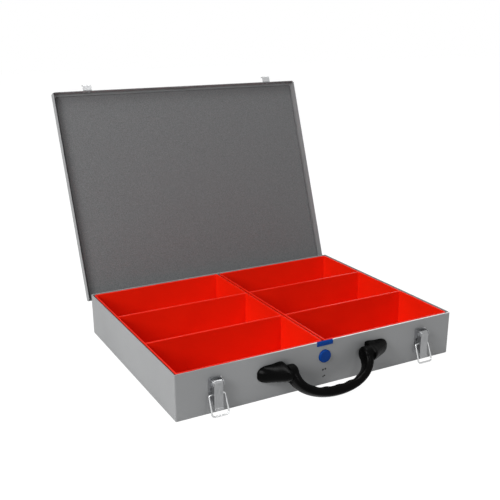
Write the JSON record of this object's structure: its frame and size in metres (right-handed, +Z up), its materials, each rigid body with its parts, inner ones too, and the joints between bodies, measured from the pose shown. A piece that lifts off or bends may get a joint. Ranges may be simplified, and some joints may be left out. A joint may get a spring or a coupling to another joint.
{
  "type": "compartment organizer case",
  "caption": "Flat sheet steel organizer case: hinged lid with foam liner, lift-out compartment trays, wire bail latches, push button catch and swinging handle.",
  "frame": {"origin": "middle of the base case's underside", "axes": "+X to the right seen from the front, +Y to the back where the hinges are, +Z up"},
  "size_m": [0.443, 0.5077, 0.3732],
  "materials": {
    "case_paint": "satin light grey powder coat",
    "lid_paint": "satin grey powder coat",
    "foam": "open grey foam",
    "red_plastic": "semi-gloss moulded",
    "blue_plastic": "glossy moulded",
    "black_plastic": "fine satin grain",
    "bright_zinc": "bright zinc plate",
    "wire": "bright drawn wire",
    "spring_steel": "oiled spring steel"
  },
  "bodies": {
    "case": {"base_case": "case_paint", "left_hinge_base_leaf": "bright_zinc", "right_hinge_base_leaf": "bright_zinc", "hinge_base_rivets": "bright_zinc", "left_hinge_pin": "bright_zinc", "right_hinge_pin": "bright_zinc", "left_latch_plate": "bright_zinc", "right_latch_plate": "bright_zinc", "latch_rivets": "bright_zinc", "left_lever_pin": "bright_zinc", "right_lever_pin": "bright_zinc", "left_handle_cap": "black_plastic", "right_handle_cap": "black_plastic", "handle_screws": "bright_zinc", "handle_washers": "bright_zinc", "grip_pins": "bright_zinc", "catch_guide": "bright_zinc", "catch_spring": "spring_steel"},
    "lid": {"lid_shell": "lid_paint", "foam_liner": "foam", "left_hinge_lid_leaf": "bright_zinc", "right_hinge_lid_leaf": "bright_zinc", "hinge_lid_rivets": "bright_zinc", "left_keeper": "bright_zinc", "right_keeper": "bright_zinc", "keeper_rivets": "bright_zinc", "lid_strike": "lid_paint"},
    "left_tray": {"left_tray": "red_plastic"},
    "right_tray": {"right_tray": "red_plastic"},
    "left_lever": {"left_latch_lever": "bright_zinc"},
    "right_lever": {"right_latch_lever": "bright_zinc"},
    "left_bail": {"left_latch_bail": "wire"},
    "right_bail": {"right_latch_bail": "wire"},
    "grip": {"handle_grip": "black_plastic"},
    "catch": {"catch_slide": "bright_zinc", "catch_nose": "blue_plastic", "release_button": "blue_plastic"}
  },
  "joints": [
    {"name": "lid_swing", "type": "hinge", "parent": "case", "child": "lid", "pos_m": [0, 0.16925, 0.0496], "axis": [1, 0, 0], "range_deg": [0, 110], "deforming": ["foam_liner"]},
    {"name": "left_tray_lift", "type": "slide", "parent": "case", "child": "left_tray", "axis": [0, 0, -1], "range_m": [-0.08, 0]},
    {"name": "right_tray_lift", "type": "slide", "parent": "case", "child": "right_tray", "axis": [0, 0, -1], "range_m": [-0.08, 0]},
    {"name": "left_lever_swing", "type": "hinge", "parent": "case", "child": "left_lever", "pos_m": [-0.165, -0.1714, 0.0444], "axis": [-1, 0, 0], "range_deg": [0, 120]},
    {"name": "left_bail_swing", "type": "hinge", "parent": "left_lever", "child": "left_bail", "pos_m": [-0.165, -0.17, 0.0285], "axis": [1, 0, 0], "range_deg": [-154, 22]},
    {"name": "right_lever_swing", "type": "hinge", "parent": "case", "child": "right_lever", "pos_m": [0.165, -0.1714, 0.0444], "axis": [-1, 0, 0], "range_deg": [0, 120]},
    {"name": "right_bail_swing", "type": "hinge", "parent": "right_lever", "child": "right_bail", "pos_m": [0.165, -0.17, 0.0285], "axis": [1, 0, 0], "range_deg": [-154, 22]},
    {"name": "grip_swing", "type": "hinge", "parent": "case", "child": "grip", "pos_m": [0, -0.1783, 0.037], "axis": [-1, 0, 0], "range_deg": [-35, 125]},
    {"name": "catch_press", "type": "slide", "parent": "case", "child": "catch", "axis": [0, 1, 0], "range_m": [0, 0.0012], "stiffness_N_per_m": 600, "springref_m": -0.003, "deforming": ["catch_spring"]}
  ]
}
